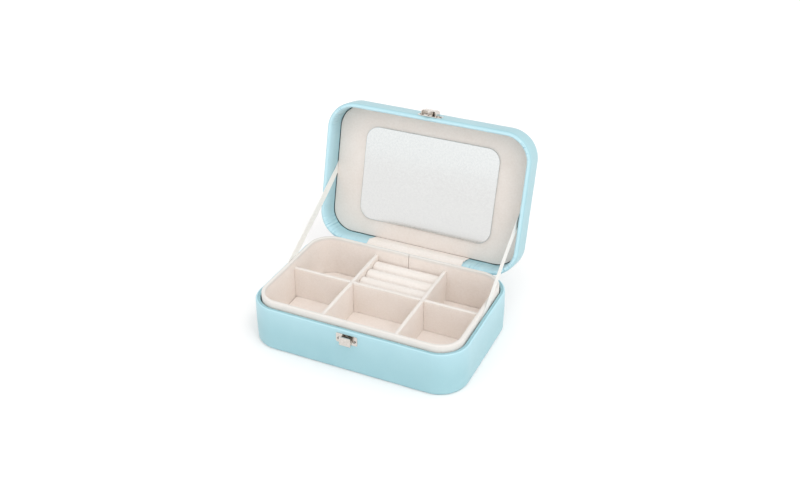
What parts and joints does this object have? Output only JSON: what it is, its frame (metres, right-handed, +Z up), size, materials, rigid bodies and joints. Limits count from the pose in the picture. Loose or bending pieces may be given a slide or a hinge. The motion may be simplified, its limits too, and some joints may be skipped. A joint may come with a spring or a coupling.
{
  "type": "travel jewelry case",
  "caption": "Padded leather box with a velvet tray of small compartments and ring rolls, a hinged mirror lid held by ribbon stays, and a press clasp.",
  "frame": {"origin": "centre of the base's resting face", "axes": "+X to the case's right along its length, +Y to its back and hinge, +Z up; the clasp is on the -Y side"},
  "size_m": [0.165, 0.1614, 0.1435],
  "materials": {
    "leather": "pale blue grained synthetic leather",
    "velvet": "cream short-pile velvet",
    "board": "rigid grey board",
    "foam": "soft padding",
    "mirror": "silvered glass",
    "nickel": "bright nickel plate",
    "ribbon": "white satin ribbon"
  },
  "bodies": {
    "base": {"base_board": "board", "base_cover": "leather", "base_bottom_sheet": "leather", "tray_wall": "velvet", "tray_floor": "velvet", "long_divider": "velvet", "left_divider": "velvet", "right_divider": "velvet", "ring_pad_base": "velvet", "ring_roll_front": "velvet", "ring_roll_middle": "velvet", "ring_roll_back": "velvet", "hinge_strip": "velvet", "hinge_leather": "leather", "ribbon_left": "ribbon", "ribbon_right": "ribbon", "clasp_plate": "nickel", "clasp_pin": "nickel", "clasp_spring": "nickel", "clasp_nails": "nickel"},
    "lid": {"lid_board": "board", "lid_padding": "foam", "lid_cover": "leather", "lid_panel": "velvet", "mirror": "mirror", "catch_plate": "nickel", "catch_hook": "nickel", "catch_nails": "nickel"},
    "lever": {"clasp_lever": "nickel"}
  },
  "joints": [
    {"name": "lid_hinge", "type": "hinge", "parent": "base", "child": "lid", "pos_m": [0, 0.0546, 0.0328], "axis": [1, 0, 0], "range_deg": [0, 104], "deforming": ["ribbon_left", "ribbon_right", "hinge_strip", "hinge_leather"]},
    {"name": "clasp_press", "type": "hinge", "parent": "base", "child": "lever", "pos_m": [0, -0.0569, 0.0266], "axis": [1, 0, 0], "range_deg": [0, 12], "stiffness_Nm_per_rad": 0.02, "springref_deg": -11.46, "deforming": ["clasp_spring"]}
  ]
}
